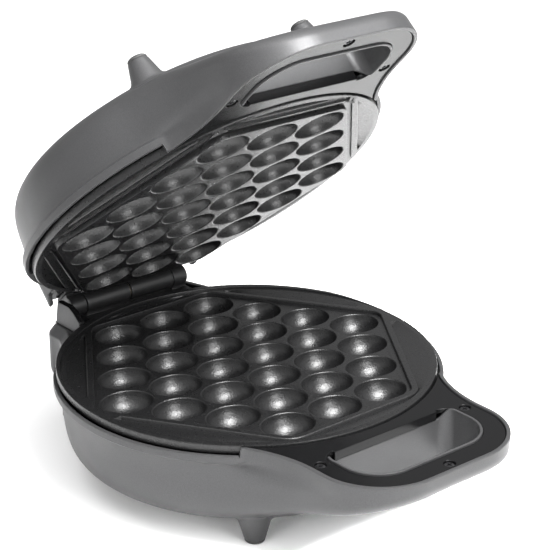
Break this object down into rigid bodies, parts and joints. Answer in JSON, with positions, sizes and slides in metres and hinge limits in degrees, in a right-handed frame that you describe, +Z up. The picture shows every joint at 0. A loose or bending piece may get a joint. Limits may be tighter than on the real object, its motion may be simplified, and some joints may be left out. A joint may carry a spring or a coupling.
{
  "type": "bubble waffle maker",
  "caption": "Round hinged bubble waffle maker standing open, with facing cast plates of egg-shaped cups, loop handles and conical legs on both halves",
  "frame": {"origin": "on the worktop, under the middle of the bounding box of the appliance standing open", "axes": "+X to the right seen from the handles, +Y from the handles to the hinge, +Z up"},
  "size_m": [0.208, 0.2905, 0.2608],
  "materials": {
    "shell": "satin metallic grey",
    "plate": "black non-stick coat",
    "cover": "semi-gloss black",
    "fastener": "plain",
    "rubber": "matte black",
    "bracket": "satin dark grey",
    "pin": "bright",
    "heater": "dull sheath",
    "sheet": "plain sheet",
    "sleeve": "woven sleeve",
    "control": "plain",
    "fuse": "sleeved",
    "terminal": "off white",
    "gland": "matte black",
    "lens": "tinted"
  },
  "bodies": {
    "base": {"base_shell": "shell", "base_plate": "plate", "base_handle_cover": "cover", "base_handle_screws": "fastener", "base_rubber_feet": "rubber", "base_leg_screws": "fastener", "base_hinge_bracket": "bracket", "base_hinge_screws": "fastener", "base_heating_element": "heater", "base_heat_pan": "sheet", "base_pan_screws": "fastener", "right_hinge_pin": "pin", "hinge_lead": "sleeve", "thermostat": "control", "thermal_fuse": "fuse", "terminal_block": "terminal", "cord_gland": "gland"},
    "lid": {"lid_shell": "shell", "lid_plate": "plate", "lid_handle_cover": "cover", "lid_handle_screws": "fastener", "lid_rubber_feet": "rubber", "lid_leg_screws": "fastener", "lid_hinge_bracket": "bracket", "lid_hinge_screws": "fastener", "lid_heating_element": "heater", "lid_heat_pan": "sheet", "lid_pan_screws": "fastener", "left_hinge_pin": "pin", "lamp_lenses": "lens"}
  },
  "joints": [
    {"name": "lid_hinge", "type": "hinge", "parent": "base", "child": "lid", "pos_m": [0, 0.1286, 0.0644], "axis": [-1, 0, 0], "range_deg": [-43.67, 46.33]}
  ]
}
